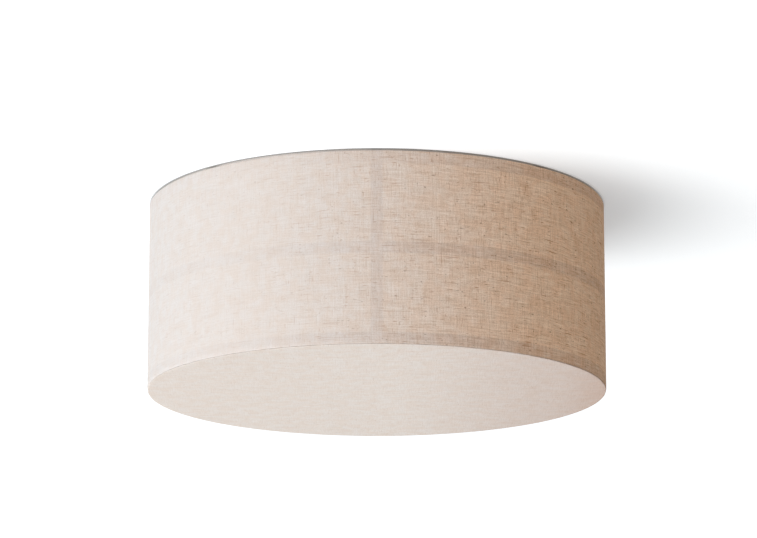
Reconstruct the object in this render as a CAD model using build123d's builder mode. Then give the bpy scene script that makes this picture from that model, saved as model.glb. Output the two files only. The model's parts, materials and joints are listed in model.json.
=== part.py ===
"""Flush mount ceiling light: a linen drum on a flat-bar frame, hung under a fixed pan with three lamps.

The origin is the centre of the pan's ceiling face, so the ceiling is the plane Z = 0 and the light
hangs below it. +Z points up into the ceiling and -Y is the front. All sizes are in millimetres.
"""

from build123d import *
import os
from math import cos, radians, sin, sqrt

os.makedirs("parts", exist_ok=True)

# ---- Driving dimensions ----

# Shade
shade_diameter = 600.0
overall_height = 250.0  # ceiling to the underside of the bottom fabric
shadow_gap = 2.5  # ceiling to the top edge of the fabric
fabric_thickness = 0.8
bar_width = 15.0  # flat bar of the frame's rings and uprights
bar_thickness = 2.0
bar_edge_radius = 0.4
upright_names = {"right": 0, "back": 90, "left": 180, "front": 270}
hem_depth = 7.0  # how far the hem is turned down inside the top ring
hem_notch_margin = 1.0  # each side of an upright, where the hem is snipped
curved_clearance = 0.3  # between curved faces that lie against each other

# Diffuser inside the bottom ring
diffuser_thickness = 2.0
diffuser_clearance = 0.5  # from its edge to the uprights
seat_count = 8
seat_width = 12.0
seat_reach = 16.0
seat_leg = 9.0
seat_sheet = 1.5
seat_lift = 2.5  # from the bottom fabric to the seats

# Hanging lugs on the top ring, with their studs and nuts
arm_count = 4
first_arm_angle = 45.0
stud_inset = 18.6  # from the inside of the frame to the studs
lug_width = 20.0
lug_thickness = 2.0
lug_end_margin = 12.0  # from the stud to the lug's free end
lug_below_hem = 1.0
lug_hole_diameter = 6.0
stud_diameter = 5.0
stud_length = 15.0  # threaded end below the lug's seat
shoulder_diameter = 10.0
stud_head_diameter = 9.0
stud_head_height = 0.8
seat_gap = 0.2  # between the lug and the stud's shoulder
nut_diameter = 16.0
nut_flange_diameter = 18.0
nut_flange_height = 2.0
nut_height = 9.0
nut_bore_clearance = 0.1
knurl_count = 24
knurl_radius = 0.7

# Ceiling pan
pan_diameter = 300.0
pan_sheet = 1.5
pan_depth = 6.0
pan_press_radius = 2.5
fixing_circle_diameter = 250.0
fixing_hole_diameter = 6.0
fixing_count = 4

# Cable entry
grommet_hole_diameter = 16.0
grommet_flange_diameter = 21.0
grommet_flange_height = 2.0
grommet_bore_diameter = 10.0
grommet_nose_diameter = 13.0
grommet_length = 8.0
fit_clearance = 0.1  # between a pin, sleeve or screw and its hole

# Support arms
arm_width = 20.0
arm_thickness = 2.5
arm_overlap = 42.0  # of an arm under the pan
arm_end_margin = 12.0
arm_rivet_insets = (32.0, 12.0)  # from the pan's rim
rim_notch_margin = 0.5

# Rivets
rivet_diameter = 4.0
rivet_head_diameter = 7.0
rivet_dome_height = 1.6
rivet_sink_diameter = 6.0
rivet_sink_angle = 90.0

# Lamp brackets
lamp_angles = (30.0, 150.0, 270.0)
lamp_axis_drop = 62.0  # ceiling to the axis of the lamps
bracket_sheet = 1.5
bracket_radius = 44.0  # back face of the upright leg
bracket_width = 36.0
bracket_foot = 32.0
bracket_tail = 18.0  # below the lamp axis
bracket_corner_radius = 10.0
bracket_rivet_reach = 18.0
bracket_rivet_spacing = 20.0

# Lampholders, E27
holder_length = 52.0
holder_back_diameter = 32.0
holder_diameter = 39.0
holder_flange_diameter = 43.0
holder_flange_width = 4.0
holder_neck_length = 12.0
holder_cone_length = 5.0
holder_edge = 2.0
holder_bore_diameter = 29.0
holder_floor = 15.5  # back face to the floor of the bore
nipple_diameter = 10.0
nipple_bore_diameter = 7.0
nipple_tail = 7.0  # behind the bracket
nipple_reach = 8.5  # into the lampholder
nipple_end_gap = 0.5
nipple_hole_clearance = 0.2
nipple_nut_size = 14.0  # across flats
nipple_nut_height = 4.0
shell_thickness = 0.7
shell_start = 5.0  # from the bore's floor
shell_end_margin = 5.0  # from the mouth
contact_diameter = 8.0
contact_stem_diameter = 4.0
contact_height = 6.0
contact_button_height = 1.5

# Lamps, A60 with an E27 cap
lamp_length = 108.0
lamp_diameter = 60.0
cap_thread_diameter = 26.4
cap_thread_depth = 1.0
cap_thread_pitch = 3.62
cap_thread_turns = 5
cap_tip_diameter = 8.0
cap_tip_height = 1.0
cap_cone_height = 3.0
cap_cone_diameter = 16.0
cap_length = 26.7
cap_gap = 0.3  # from the lamp's tip to the lampholder's contact
housing_neck_diameter = 28.0
housing_neck_length = 4.5
housing_length = 47.0
housing_rim = 3.0
globe_wall = 1.5

# Terminal block
block_length = 34.0
block_depth = 18.0
block_height = 15.0
block_centre_y = 22.0
block_edge_radius = 1.0
pole_pitch = 9.0
port_diameter = 3.0
port_pitch = 4.4
port_depth = 6.0
clamp_screw_diameter = 4.0
clamp_screw_length = 3.0
clamp_screw_proud = 0.6
slot_width = 0.8
slot_depth = 0.5
block_screw_diameter = 2.8
block_screw_head_diameter = 4.4
block_screw_head_height = 1.6

# Earth connection
earth_angle = 210.0
earth_radius = 42.0
earth_screw_diameter = 4.0
earth_head_diameter = 8.0
earth_head_height = 2.6
tag_thickness = 0.8
tag_diameter = 9.0
tag_width = 5.0
tag_reach = 10.0
barrel_length = 6.0
barrel_wall = 0.6

# Internal leads
lead_diameter = 2.2
lead_port_depth = 5.0
lead_in_nipple = 7.0  # how far a lead reaches into the nipple
lead_spacing = 3.2  # between the two leads of one lampholder
lead_entry_radius = 16.0  # where a lead turns outward to its lampholder
earth_lead_run = 4.0  # from the last bend of the earth lead to its barrel
barrel_end_margin = 1.0
arc_share = 0.45  # of the shorter run, used up by one end of an arc

# ---- Sizes that follow ----

shade_radius = shade_diameter / 2
fabric_inner_radius = shade_radius - fabric_thickness
ring_outer_radius = fabric_inner_radius - curved_clearance
ring_inner_radius = ring_outer_radius - bar_thickness
frame_inner_radius = ring_inner_radius - curved_clearance
stud_circle_radius = frame_inner_radius - stud_inset

shade_bottom_z = -overall_height
frame_bottom_z = shade_bottom_z + fabric_thickness
fabric_top_z = -shadow_gap
frame_top_z = fabric_top_z - fabric_thickness
hem_bottom_z = frame_top_z - hem_depth

pan_radius = pan_diameter / 2
pan_under_z = -pan_sheet
arm_under_z = pan_under_z - arm_thickness
arm_root_radius = pan_radius - arm_overlap
arm_rivet_radii = [pan_radius - inset for inset in arm_rivet_insets]
arm_end_radius = stud_circle_radius + arm_end_margin
arm_angles = [first_arm_angle + step * 360 / arm_count for step in range(arm_count)]
stud_radius = stud_diameter / 2

lug_top_z = hem_bottom_z - lug_below_hem
lug_under_z = lug_top_z - lug_thickness
lug_foot_z = frame_top_z - bar_width
shoulder_end_z = lug_top_z + seat_gap
stud_end_z = lug_top_z - stud_length

lamp_axis_z = -lamp_axis_drop
holder_back = bracket_radius + bracket_sheet
holder_mouth = holder_back + holder_length
holder_bore_floor = holder_back + holder_floor
holder_bore_radius = holder_bore_diameter / 2
shell_outer_radius = holder_bore_radius - curved_clearance
shell_inner_radius = shell_outer_radius - shell_thickness
contact_end = holder_bore_floor + contact_height
lamp_tip = contact_end + cap_gap
cap_end = lamp_tip + cap_length
housing_end = cap_end + housing_length
lamp_end = lamp_tip + lamp_length
lamp_radius = lamp_diameter / 2

block_under_z = pan_under_z - block_height
rivet_radius = rivet_diameter / 2
rivet_hole_radius = rivet_radius + fit_clearance


# ---- Planes and distances ----


def radial_section(angle, height=0.0):
    """Upright plane through the drum's axis: local x runs outward and local y runs up."""
    turn = radians(angle)
    return Plane(origin=(0, 0, height), x_dir=(cos(turn), sin(turn), 0), z_dir=(sin(turn), -cos(turn), 0))


def radial_face(angle, distance, height):
    """Upright plane that faces outward, at a distance from the drum's axis: local y runs up."""
    turn = radians(angle)
    outward = (cos(turn), sin(turn), 0)
    origin = (distance * cos(turn), distance * sin(turn), height)
    return Plane(origin=origin, x_dir=(-sin(turn), cos(turn), 0), z_dir=outward)


def level_plane(angle, height):
    """Level plane that faces up: local x runs outward."""
    turn = radians(angle)
    return Plane(origin=(0, 0, height), x_dir=(cos(turn), sin(turn), 0), z_dir=(0, 0, 1))


def lamp_line(angle):
    """The axis of one lamp and its lampholder."""
    turn = radians(angle)
    return Axis(origin=(0, 0, lamp_axis_z), direction=(cos(turn), sin(turn), 0))


def flat_distance(radius, width):
    """How far from the axis a flat face stands when the edges of its width reach a radius."""
    return sqrt(radius**2 - (width / 2) ** 2)


def polar_point(angle, radius, across=0.0):
    """A point of the plan, at a radius along an angle and a distance across it."""
    turn = radians(angle)
    return (radius * cos(turn) - across * sin(turn), radius * sin(turn) + across * cos(turn))


# ---- Frame of the shade ----

ring_tops = {
    "frame_top_ring": frame_top_z,
    "frame_middle_ring": (frame_top_z + frame_bottom_z + bar_width) / 2,
    "frame_bottom_ring": frame_bottom_z + bar_width,
}
for ring_name, ring_top_z in ring_tops.items():
    with BuildPart() as frame_ring:
        with BuildSketch(Plane.XY.offset(ring_top_z - bar_width)):
            Circle(ring_outer_radius)
            Circle(ring_inner_radius, mode=Mode.SUBTRACT)
        extrude(amount=bar_width)
        fillet(frame_ring.edges().filter_by(GeomType.CIRCLE), radius=bar_edge_radius)
    frame_ring.part.label = ring_name
    export_step(frame_ring.part, f"parts/{ring_name}.step")

# Flat uprights, welded to the inner faces of the rings
upright_outer_face = flat_distance(frame_inner_radius, bar_width)
upright_inner_face = upright_outer_face - bar_thickness
upright_length = frame_top_z - frame_bottom_z
upright_middle_z = (frame_top_z + frame_bottom_z) / 2
for side, side_angle in upright_names.items():
    with BuildPart() as frame_upright:
        with BuildSketch(radial_face(side_angle, upright_inner_face, upright_middle_z)):
            Rectangle(bar_width, upright_length)
        extrude(amount=bar_thickness)
        fillet(frame_upright.edges().filter_by(Axis.Z), radius=bar_edge_radius)
    frame_upright.part.label = f"frame_upright_{side}"
    export_step(frame_upright.part, f"parts/frame_upright_{side}.step")

# ---- Fabric ----

with BuildPart() as fabric_wall:
    with BuildSketch(Plane.XY.offset(frame_bottom_z)):
        Circle(shade_radius)
        Circle(fabric_inner_radius, mode=Mode.SUBTRACT)
    extrude(amount=fabric_top_z - frame_bottom_z)
fabric_wall.part.label = "fabric_wall"
export_step(fabric_wall.part, "parts/fabric_wall.step")

with BuildPart() as fabric_bottom:
    with BuildSketch(Plane.XY.offset(shade_bottom_z)):
        Circle(shade_radius)
    extrude(amount=fabric_thickness)
fabric_bottom.part.label = "fabric_bottom"
export_step(fabric_bottom.part, "parts/fabric_bottom.step")

# Hem, turned over the top ring and snipped at each upright
hem_outer_radius = frame_inner_radius
hem_inner_radius = hem_outer_radius - fabric_thickness
hem_notch_width = bar_width + 2 * hem_notch_margin
with BuildPart() as top_hem:
    with BuildSketch(Plane.XZ):
        with BuildLine():
            Polyline(
                (hem_inner_radius, fabric_top_z),
                (ring_outer_radius, fabric_top_z),
                (ring_outer_radius, frame_top_z),
                (hem_outer_radius, frame_top_z),
                (hem_outer_radius, hem_bottom_z),
                (hem_inner_radius, hem_bottom_z),
                close=True,
            )
        make_face()
    revolve(axis=Axis.Z)
    with BuildSketch(Plane.XY.offset(frame_top_z)):
        with PolarLocations(hem_outer_radius, len(upright_names)):
            Rectangle(2 * bar_thickness + 2 * fabric_thickness, hem_notch_width)
    extrude(amount=-hem_depth, mode=Mode.SUBTRACT)
top_hem.part.label = "top_hem"
export_step(top_hem.part, "parts/top_hem.step")

# ---- Diffuser and its seats ----

seat_top_z = frame_bottom_z + seat_lift + seat_sheet
seat_outer_face = flat_distance(frame_inner_radius, seat_width)
seat_step = 360 / seat_count
with BuildPart() as diffuser_seats:
    for seat in range(seat_count):
        with BuildSketch(radial_section((seat + 0.5) * seat_step)):
            with BuildLine():
                Polyline(
                    (seat_outer_face, seat_top_z - seat_sheet),
                    (seat_outer_face, seat_top_z + seat_leg),
                    (seat_outer_face - seat_sheet, seat_top_z + seat_leg),
                    (seat_outer_face - seat_sheet, seat_top_z),
                    (seat_outer_face - seat_reach, seat_top_z),
                    (seat_outer_face - seat_reach, seat_top_z - seat_sheet),
                    close=True,
                )
            make_face()
        extrude(amount=seat_width / 2, both=True)
diffuser_seats.part.label = "diffuser_seats"
export_step(diffuser_seats.part, "parts/diffuser_seats.step")

diffuser_radius = upright_inner_face - diffuser_clearance
with BuildPart() as diffuser_disc:
    with BuildSketch(Plane.XY.offset(seat_top_z)):
        Circle(diffuser_radius)
    extrude(amount=diffuser_thickness)
    fillet(diffuser_disc.edges().filter_by(GeomType.CIRCLE), radius=bar_edge_radius)
diffuser_disc.part.label = "diffuser_disc"
export_step(diffuser_disc.part, "parts/diffuser_disc.step")

# ---- Hanging lugs, studs and nuts ----

lug_outer_face = flat_distance(frame_inner_radius, lug_width)
lug_end = stud_circle_radius - lug_end_margin
for number, arm_angle in enumerate(arm_angles, start=1):
    with BuildPart() as hanging_lug:
        with BuildSketch(radial_section(arm_angle)):
            with BuildLine():
                Polyline(
                    (lug_outer_face, lug_top_z),
                    (lug_outer_face, lug_foot_z),
                    (lug_outer_face - lug_thickness, lug_foot_z),
                    (lug_outer_face - lug_thickness, lug_under_z),
                    (lug_end, lug_under_z),
                    (lug_end, lug_top_z),
                    close=True,
                )
            make_face()
        extrude(amount=lug_width / 2, both=True)
        with BuildSketch(level_plane(arm_angle, lug_top_z)):
            with Locations((stud_circle_radius, 0)):
                Circle(lug_hole_diameter / 2)
        extrude(amount=-lug_thickness, mode=Mode.SUBTRACT)
        lug_corners = hanging_lug.edges().filter_by(Axis.Z).sort_by_distance(polar_point(arm_angle, lug_end))[:2]
        fillet(lug_corners, radius=lug_width / 4)
    hanging_lug.part.label = f"hanging_lug_{number}"
    export_step(hanging_lug.part, f"parts/hanging_lug_{number}.step")

with BuildPart() as hanging_studs:
    for arm_angle in arm_angles:
        stud_plan = polar_point(arm_angle, stud_circle_radius)
        with BuildSketch(Plane.XY.offset(pan_under_z)):
            with Locations(stud_plan):
                Circle(stud_head_diameter / 2)
        extrude(amount=stud_head_height)
        with BuildSketch(Plane.XY.offset(stud_end_z)):
            with Locations(stud_plan):
                Circle(stud_radius)
        extrude(amount=pan_under_z - stud_end_z)
        with BuildSketch(Plane.XY.offset(shoulder_end_z)):
            with Locations(stud_plan):
                Circle(shoulder_diameter / 2)
        extrude(amount=arm_under_z - shoulder_end_z)
hanging_studs.part.label = "hanging_studs"
export_step(hanging_studs.part, "parts/hanging_studs.step")

nut_bore_radius = stud_radius + nut_bore_clearance
for number, arm_angle in enumerate(arm_angles, start=1):
    nut_plan = polar_point(arm_angle, stud_circle_radius)
    with BuildPart() as hanging_nut:
        with BuildSketch(Plane.XY.offset(lug_under_z)):
            with Locations(nut_plan):
                Circle(nut_flange_diameter / 2)
        extrude(amount=-nut_flange_height)
        with BuildSketch(Plane.XY.offset(lug_under_z - nut_flange_height)):
            with Locations(nut_plan):
                Circle(nut_diameter / 2)
                with PolarLocations(nut_diameter / 2, knurl_count):
                    Circle(knurl_radius, mode=Mode.SUBTRACT)
        extrude(amount=-(nut_height - nut_flange_height))
        with BuildSketch(Plane.XY.offset(lug_under_z)):
            with Locations(nut_plan):
                Circle(nut_bore_radius)
        extrude(amount=-nut_height, mode=Mode.SUBTRACT)
    hanging_nut.part.label = f"hanging_nut_{number}"
    export_step(hanging_nut.part, f"parts/hanging_nut_{number}.step")

# ---- Ceiling pan ----

block_screw_points = [(side * pole_pitch / 2, block_centre_y) for side in (-1, 1)]
bracket_rivet_points = [
    polar_point(lamp_angle, bracket_radius + bracket_rivet_reach, side * bracket_rivet_spacing / 2)
    for lamp_angle in lamp_angles
    for side in (-1, 1)
]
arm_rivet_points = [polar_point(arm_angle, reach) for arm_angle in arm_angles for reach in arm_rivet_radii]
with BuildPart() as ceiling_pan:
    with BuildSketch():
        Circle(pan_radius)
    extrude(amount=-pan_depth)
    with BuildSketch(Plane.XY.offset(-pan_depth)):
        Circle(pan_radius - pan_sheet)
    extrude(amount=pan_depth - pan_sheet, mode=Mode.SUBTRACT)
    fillet(ceiling_pan.edges().group_by(Axis.Z)[-1], radius=pan_press_radius)
    with BuildSketch():
        Circle(grommet_hole_diameter / 2)
        with PolarLocations(fixing_circle_diameter / 2, fixing_count):
            Circle(fixing_hole_diameter / 2)
        with Locations(*block_screw_points):
            Circle(block_screw_diameter / 2 + fit_clearance)
        with Locations(polar_point(earth_angle, earth_radius)):
            Circle(earth_screw_diameter / 2 + fit_clearance)
    extrude(amount=-pan_sheet, mode=Mode.SUBTRACT)
    with Locations(*arm_rivet_points, *bracket_rivet_points):
        CounterSinkHole(
            rivet_hole_radius,
            rivet_sink_diameter / 2 + fit_clearance,
            counter_sink_angle=rivet_sink_angle,
        )
    for arm_angle in arm_angles:
        with BuildSketch(level_plane(arm_angle, pan_under_z)):
            with Locations((pan_radius, 0)):
                Rectangle(4 * pan_sheet, arm_width + 2 * rim_notch_margin)
        extrude(amount=-(pan_depth - pan_sheet), mode=Mode.SUBTRACT)
ceiling_pan.part.label = "ceiling_pan"
export_step(ceiling_pan.part, "parts/ceiling_pan.step")

with BuildPart() as cable_grommet:
    with BuildSketch(Plane.XY.offset(-grommet_length)):
        Circle(grommet_nose_diameter / 2)
    extrude(amount=grommet_length)
    with BuildSketch(Plane.XY.offset(pan_under_z)):
        Circle(grommet_hole_diameter / 2 - fit_clearance)
    extrude(amount=pan_sheet)
    with BuildSketch(Plane.XY.offset(pan_under_z)):
        Circle(grommet_flange_diameter / 2)
    extrude(amount=-grommet_flange_height)
    with BuildSketch():
        Circle(grommet_bore_diameter / 2)
    extrude(amount=-grommet_length, mode=Mode.SUBTRACT)
cable_grommet.part.label = "cable_grommet"
export_step(cable_grommet.part, "parts/cable_grommet.step")

# ---- Support arms ----

arm_length = arm_end_radius - arm_root_radius
for number, arm_angle in enumerate(arm_angles, start=1):
    with BuildPart() as support_arm:
        with BuildSketch(level_plane(arm_angle, pan_under_z)):
            with Locations((arm_root_radius + arm_length / 2, 0)):
                RectangleRounded(arm_length, arm_width, arm_width / 4)
            with Locations(*[(reach, 0) for reach in arm_rivet_radii]):
                Circle(rivet_hole_radius, mode=Mode.SUBTRACT)
            with Locations((stud_circle_radius, 0)):
                Circle(stud_radius + fit_clearance, mode=Mode.SUBTRACT)
        extrude(amount=-arm_thickness)
    support_arm.part.label = f"support_arm_{number}"
    export_step(support_arm.part, f"parts/support_arm_{number}.step")


def rivet(grip):
    """A rivet with a sunk head flush with the ceiling face and a dome under its grip."""
    sink_radius = rivet_sink_diameter / 2
    dome_radius = rivet_head_diameter / 2
    with BuildPart() as one_rivet:
        with BuildSketch(Plane.XZ):
            with BuildLine():
                Polyline(
                    (0, -grip - rivet_dome_height),
                    (0, 0),
                    (sink_radius, 0),
                    (rivet_radius, rivet_radius - sink_radius),
                    (rivet_radius, -grip),
                    (dome_radius, -grip),
                )
                RadiusArc(
                    (dome_radius, -grip),
                    (0, -grip - rivet_dome_height),
                    (dome_radius**2 + rivet_dome_height**2) / (2 * rivet_dome_height),
                )
            make_face()
        revolve(axis=Axis.Z)
    return one_rivet.part


arm_rivet = rivet(pan_sheet + arm_thickness)
with BuildPart() as arm_rivets:
    with Locations(*arm_rivet_points):
        add(arm_rivet)
arm_rivets.part.label = "arm_rivets"
export_step(arm_rivets.part, "parts/arm_rivets.step")

bracket_rivet = rivet(pan_sheet + bracket_sheet)
with BuildPart() as bracket_rivets:
    with Locations(*bracket_rivet_points):
        add(bracket_rivet)
bracket_rivets.part.label = "bracket_rivets"
export_step(bracket_rivets.part, "parts/bracket_rivets.step")

# ---- Lamp brackets and lampholders ----

bracket_end_z = lamp_axis_z - bracket_tail
nipple_hole_radius = nipple_diameter / 2 + nipple_hole_clearance
for number, lamp_angle in enumerate(lamp_angles, start=1):
    with BuildPart() as lamp_bracket:
        with BuildSketch(radial_section(lamp_angle)):
            with BuildLine():
                Polyline(
                    (bracket_radius, pan_under_z),
                    (bracket_radius, bracket_end_z),
                    (holder_back, bracket_end_z),
                    (holder_back, pan_under_z - bracket_sheet),
                    (bracket_radius + bracket_foot, pan_under_z - bracket_sheet),
                    (bracket_radius + bracket_foot, pan_under_z),
                    close=True,
                )
            make_face()
        extrude(amount=bracket_width / 2, both=True)
        low_edges = lamp_bracket.edges().group_by(Axis.Z)[0]
        fillet(low_edges.sort_by(SortBy.LENGTH)[:2], radius=bracket_corner_radius)
        with BuildSketch(radial_face(lamp_angle, bracket_radius, lamp_axis_z)):
            Circle(nipple_hole_radius)
        extrude(amount=bracket_sheet, mode=Mode.SUBTRACT)
        with BuildSketch(level_plane(lamp_angle, pan_under_z)):
            with Locations((bracket_radius + bracket_rivet_reach, 0)):
                with GridLocations(0, bracket_rivet_spacing, 1, 2):
                    Circle(rivet_hole_radius)
        extrude(amount=-bracket_sheet, mode=Mode.SUBTRACT)
    lamp_bracket.part.label = f"lamp_bracket_{number}"
    export_step(lamp_bracket.part, f"parts/lamp_bracket_{number}.step")

for number, lamp_angle in enumerate(lamp_angles, start=1):
    with BuildPart() as lampholder_body:
        with BuildSketch(radial_section(lamp_angle, lamp_axis_z)):
            with BuildLine():
                Polyline(
                    (holder_back, nipple_hole_radius),
                    (holder_back, holder_back_diameter / 2 - holder_edge),
                    (holder_back + holder_edge, holder_back_diameter / 2),
                    (holder_back + holder_neck_length, holder_back_diameter / 2),
                    (holder_back + holder_neck_length + holder_cone_length, holder_diameter / 2),
                    (holder_mouth - holder_flange_width, holder_diameter / 2),
                    (holder_mouth - holder_flange_width, holder_flange_diameter / 2),
                    (holder_mouth, holder_flange_diameter / 2),
                    (holder_mouth, holder_bore_radius),
                    (holder_bore_floor, holder_bore_radius),
                    (holder_bore_floor, 0),
                    (holder_back + nipple_reach + nipple_end_gap, 0),
                    (holder_back + nipple_reach + nipple_end_gap, nipple_hole_radius),
                    close=True,
                )
            make_face()
        revolve(axis=lamp_line(lamp_angle))
    lampholder_body.part.label = f"lampholder_body_{number}"
    export_step(lampholder_body.part, f"parts/lampholder_body_{number}.step")

    with BuildPart() as lampholder_shell:
        with BuildSketch(radial_face(lamp_angle, holder_bore_floor + shell_start, lamp_axis_z)):
            Circle(shell_outer_radius)
            Circle(shell_inner_radius, mode=Mode.SUBTRACT)
        extrude(amount=holder_mouth - shell_end_margin - holder_bore_floor - shell_start)
    lampholder_shell.part.label = f"lampholder_shell_{number}"
    export_step(lampholder_shell.part, f"parts/lampholder_shell_{number}.step")

with BuildPart() as lampholder_contacts:
    for lamp_angle in lamp_angles:
        with BuildSketch(radial_face(lamp_angle, holder_bore_floor, lamp_axis_z)):
            Circle(contact_stem_diameter / 2)
        extrude(amount=contact_height)
        with BuildSketch(radial_face(lamp_angle, contact_end - contact_button_height, lamp_axis_z)):
            Circle(contact_diameter / 2)
        extrude(amount=contact_button_height)
lampholder_contacts.part.label = "lampholder_contacts"
export_step(lampholder_contacts.part, "parts/lampholder_contacts.step")

nipple_start = bracket_radius - nipple_tail
with BuildPart() as lampholder_nipples:
    for lamp_angle in lamp_angles:
        with BuildSketch(radial_face(lamp_angle, nipple_start, lamp_axis_z)):
            Circle(nipple_diameter / 2)
            Circle(nipple_bore_diameter / 2, mode=Mode.SUBTRACT)
        extrude(amount=holder_back + nipple_reach - nipple_start)
lampholder_nipples.part.label = "lampholder_nipples"
export_step(lampholder_nipples.part, "parts/lampholder_nipples.step")

with BuildPart() as nipple_nuts:
    for lamp_angle in lamp_angles:
        with BuildSketch(radial_face(lamp_angle, bracket_radius - nipple_nut_height, lamp_axis_z)):
            RegularPolygon(nipple_nut_size / 2, 6, major_radius=False)
            Circle(nipple_diameter / 2 + fit_clearance, mode=Mode.SUBTRACT)
        extrude(amount=nipple_nut_height)
nipple_nuts.part.label = "nipple_nuts"
export_step(nipple_nuts.part, "parts/nipple_nuts.step")

# ---- Lamps ----

cap_thread_radius = cap_thread_diameter / 2
cap_valley_radius = cap_thread_radius - cap_thread_depth
cap_thread_start = lamp_tip + cap_tip_height + cap_cone_height
cap_thread_end = cap_thread_start + cap_thread_turns * cap_thread_pitch
cap_tip_radius = cap_tip_diameter / 2
for number, lamp_angle in enumerate(lamp_angles, start=1):
    with BuildPart() as lamp_cap:
        with BuildSketch(radial_section(lamp_angle, lamp_axis_z)):
            with BuildLine():
                Polyline(
                    (cap_end, cap_thread_radius),
                    (cap_end, 0),
                    (lamp_tip, 0),
                    (lamp_tip, cap_tip_radius),
                    (lamp_tip + cap_tip_height, cap_tip_radius),
                    (lamp_tip + cap_tip_height, cap_cone_diameter / 2),
                    (cap_thread_start, cap_valley_radius),
                )
                for turn_number in range(cap_thread_turns):
                    ridge_start = cap_thread_start + turn_number * cap_thread_pitch
                    ThreePointArc(
                        (ridge_start, cap_valley_radius),
                        (ridge_start + cap_thread_pitch / 2, cap_thread_radius),
                        (ridge_start + cap_thread_pitch, cap_valley_radius),
                    )
                Polyline(
                    (cap_thread_end, cap_valley_radius),
                    (cap_thread_end, cap_thread_radius),
                    (cap_end, cap_thread_radius),
                )
            make_face()
        revolve(axis=lamp_line(lamp_angle))
    lamp_cap.part.label = f"lamp_cap_{number}"
    export_step(lamp_cap.part, f"parts/lamp_cap_{number}.step")

    with BuildPart() as lamp_housing:
        with BuildSketch(radial_section(lamp_angle, lamp_axis_z)):
            with BuildLine():
                Polyline(
                    (housing_end - housing_rim, lamp_radius),
                    (housing_end, lamp_radius),
                    (housing_end, 0),
                    (cap_end, 0),
                    (cap_end, housing_neck_diameter / 2),
                    (cap_end + housing_neck_length, housing_neck_diameter / 2),
                )
                Spline(
                    (cap_end + housing_neck_length, housing_neck_diameter / 2),
                    (housing_end - housing_rim, lamp_radius),
                    tangents=((1, 0), (1, 0)),
                )
            make_face()
        revolve(axis=lamp_line(lamp_angle))
    lamp_housing.part.label = f"lamp_housing_{number}"
    export_step(lamp_housing.part, f"parts/lamp_housing_{number}.step")

    with BuildPart() as lamp_globe:
        with BuildSketch(radial_section(lamp_angle, lamp_axis_z)):
            with BuildLine():
                EllipticalCenterArc((housing_end, 0), lamp_end - housing_end, lamp_radius, arc_size=90)
                Line((housing_end, lamp_radius), (housing_end, lamp_radius - globe_wall))
                EllipticalCenterArc(
                    (housing_end, 0),
                    lamp_end - housing_end - globe_wall,
                    lamp_radius - globe_wall,
                    arc_size=90,
                )
                Line((lamp_end - globe_wall, 0), (lamp_end, 0))
            make_face()
        revolve(axis=lamp_line(lamp_angle))
    lamp_globe.part.label = f"lamp_globe_{number}"
    export_step(lamp_globe.part, f"parts/lamp_globe_{number}.step")

# ---- Terminal block ----

pole_positions = [pole_pitch * step for step in (-1, 0, 1)]
port_rows = [block_centre_y + port_pitch * step for step in (-1, 0, 1)]
block_front_y = block_centre_y - block_depth / 2
clamp_screw_z = pan_under_z - block_height / 2
with BuildPart() as terminal_block:
    with BuildSketch(Plane.XY.offset(pan_under_z)):
        with Locations((0, block_centre_y)):
            Rectangle(block_length, block_depth)
    extrude(amount=-block_height)
    fillet(terminal_block.edges().filter_by(Axis.Z), radius=block_edge_radius)
    with BuildSketch(Plane.XY.offset(block_under_z)):
        with Locations(*[(pole, row) for pole in pole_positions for row in port_rows]):
            Circle(port_diameter / 2)
    extrude(amount=port_depth, mode=Mode.SUBTRACT)
    with BuildSketch(Plane.XY.offset(block_under_z)):
        with Locations(*block_screw_points):
            Circle(block_screw_diameter / 2 + fit_clearance)
    extrude(amount=block_height, mode=Mode.SUBTRACT)
    with BuildSketch(Plane.XZ.offset(-block_front_y)):
        with Locations(*[(pole, clamp_screw_z) for pole in pole_positions]):
            Circle(clamp_screw_diameter / 2 + fit_clearance)
    extrude(amount=-clamp_screw_length, mode=Mode.SUBTRACT)
terminal_block.part.label = "terminal_block"
export_step(terminal_block.part, "parts/terminal_block.step")

with BuildPart() as terminal_screws:
    with BuildSketch(Plane.XZ.offset(-block_front_y - clamp_screw_length)):
        with Locations(*[(pole, clamp_screw_z) for pole in pole_positions]):
            Circle(clamp_screw_diameter / 2)
    extrude(amount=clamp_screw_length + clamp_screw_proud)
    with BuildSketch(Plane.XZ.offset(-block_front_y + clamp_screw_proud)):
        with Locations(*[(pole, clamp_screw_z) for pole in pole_positions]):
            Rectangle(clamp_screw_diameter, slot_width)
    extrude(amount=-slot_depth, mode=Mode.SUBTRACT)
terminal_screws.part.label = "terminal_screws"
export_step(terminal_screws.part, "parts/terminal_screws.step")

with BuildPart() as block_fixing_screws:
    with BuildSketch(Plane.XY.offset(block_under_z)):
        with Locations(*block_screw_points):
            Circle(block_screw_diameter / 2)
    extrude(amount=block_height + pan_sheet)
    with BuildSketch(Plane.XY.offset(block_under_z)):
        with Locations(*block_screw_points):
            Circle(block_screw_head_diameter / 2)
    extrude(amount=-block_screw_head_height)
    with BuildSketch(Plane.XY.offset(block_under_z - block_screw_head_height)):
        with Locations(*block_screw_points):
            Rectangle(slot_width, block_screw_head_diameter)
    extrude(amount=slot_depth, mode=Mode.SUBTRACT)
block_fixing_screws.part.label = "block_fixing_screws"
export_step(block_fixing_screws.part, "parts/block_fixing_screws.step")

# ---- Earth connection ----

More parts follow.
